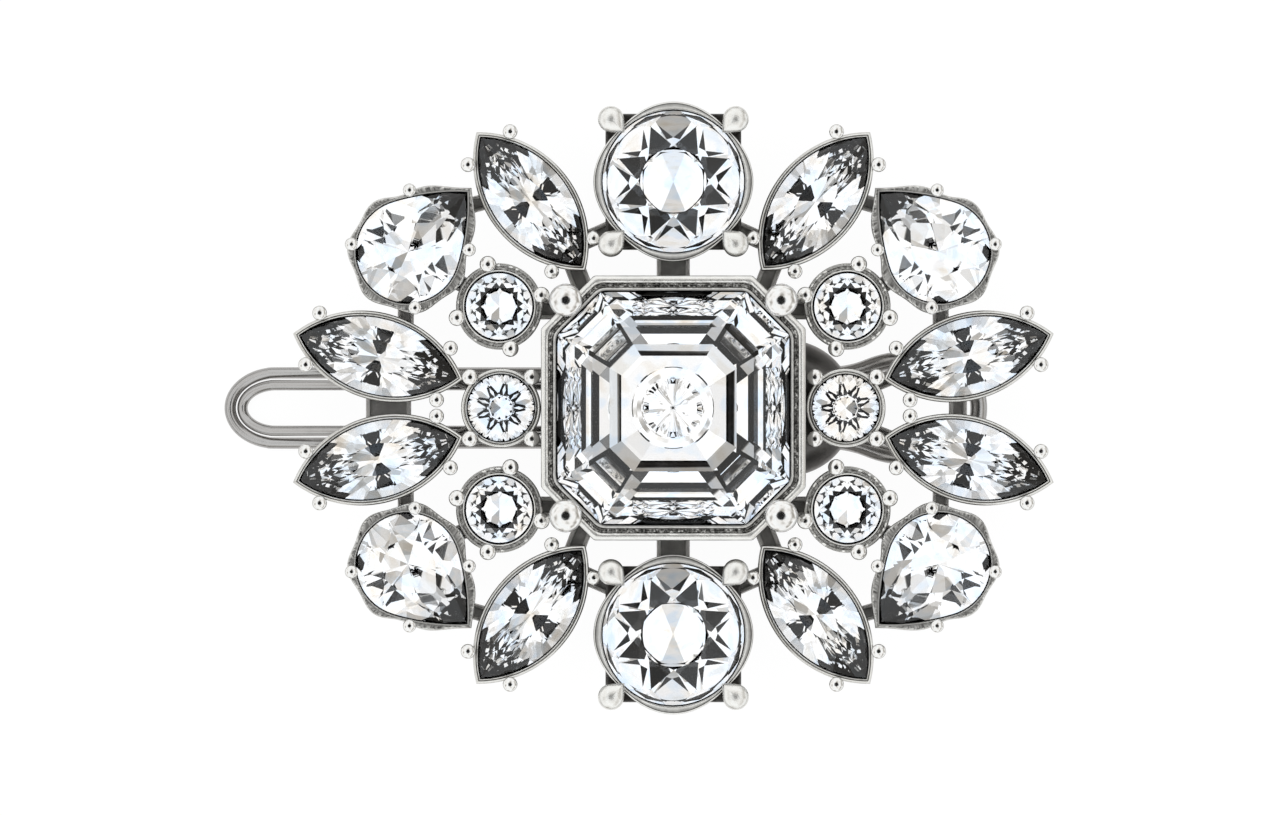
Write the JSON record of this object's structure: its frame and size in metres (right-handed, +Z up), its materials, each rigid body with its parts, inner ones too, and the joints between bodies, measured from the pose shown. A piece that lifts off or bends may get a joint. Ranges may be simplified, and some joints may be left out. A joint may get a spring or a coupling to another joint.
{
  "type": "rhinestone hair clip",
  "caption": "Oval hair ornament of faceted crystals in pronged cups on an openwork frame, with a sprung two-loop wire jaw clip on its back.",
  "frame": {"origin": "middle of the footprint, on the table that the clip's back rests on", "axes": "+X along the clip from the jaws' nose to the thumb loop, +Y across it, +Z up through the stones' faces"},
  "size_m": [0.0826, 0.0602, 0.0197],
  "materials": {
    "crystal": "polished, faceted, foiled back",
    "polished_metal": "polished antique silver, grainy in the recesses",
    "antique_metal": "satin, oxidised",
    "spring_steel": "polished wire"
  },
  "bodies": {
    "clip": {"centre_stone": "crystal", "centre_setting": "polished_metal", "large_round_stone_top": "crystal", "large_round_setting_top": "polished_metal", "large_round_stone_bottom": "crystal", "large_round_setting_bottom": "polished_metal", "inner_marquise_stone_top_left": "crystal", "inner_marquise_setting_top_left": "polished_metal", "inner_marquise_stone_top_right": "crystal", "inner_marquise_setting_top_right": "polished_metal", "inner_marquise_stone_bottom_left": "crystal", "inner_marquise_setting_bottom_left": "polished_metal", "inner_marquise_stone_bottom_right": "crystal", "inner_marquise_setting_bottom_right": "polished_metal", "side_marquise_stone_top_left": "crystal", "side_marquise_setting_top_left": "polished_metal", "side_marquise_stone_top_right": "crystal", "side_marquise_setting_top_right": "polished_metal", "side_marquise_stone_bottom_left": "crystal", "side_marquise_setting_bottom_left": "polished_metal", "side_marquise_stone_bottom_right": "crystal", "side_marquise_setting_bottom_right": "polished_metal", "pear_stone_top_left": "crystal", "pear_setting_top_left": "polished_metal", "pear_stone_top_right": "crystal", "pear_setting_top_right": "polished_metal", "pear_stone_bottom_left": "crystal", "pear_setting_bottom_left": "polished_metal", "pear_stone_bottom_right": "crystal", "pear_setting_bottom_right": "polished_metal", "corner_round_stone_top_left": "crystal", "corner_round_setting_top_left": "polished_metal", "corner_round_stone_top_right": "crystal", "corner_round_setting_top_right": "polished_metal", "corner_round_stone_bottom_left": "crystal", "corner_round_setting_bottom_left": "polished_metal", "corner_round_stone_bottom_right": "crystal", "corner_round_setting_bottom_right": "polished_metal", "side_round_stone_left": "crystal", "side_round_setting_left": "polished_metal", "side_round_stone_right": "crystal", "side_round_setting_right": "polished_metal", "frame": "antique_metal", "pivot_plate": "antique_metal", "pivot_pin": "spring_steel", "rivet_left": "spring_steel", "rivet_right": "spring_steel", "torsion_spring": "spring_steel", "fixed_jaw": "spring_steel"},
    "jaw": {"moving_jaw": "spring_steel", "jaw_yoke": "antique_metal"}
  },
  "joints": [
    {"name": "jaw_hinge", "type": "hinge", "parent": "clip", "child": "jaw", "pos_m": [0.01486, 0, 0.00419], "axis": [0, -1, 0], "range_deg": [0, 16], "stiffness_Nm_per_rad": 0.15, "springref_deg": -40.11, "deforming": ["torsion_spring"]}
  ]
}
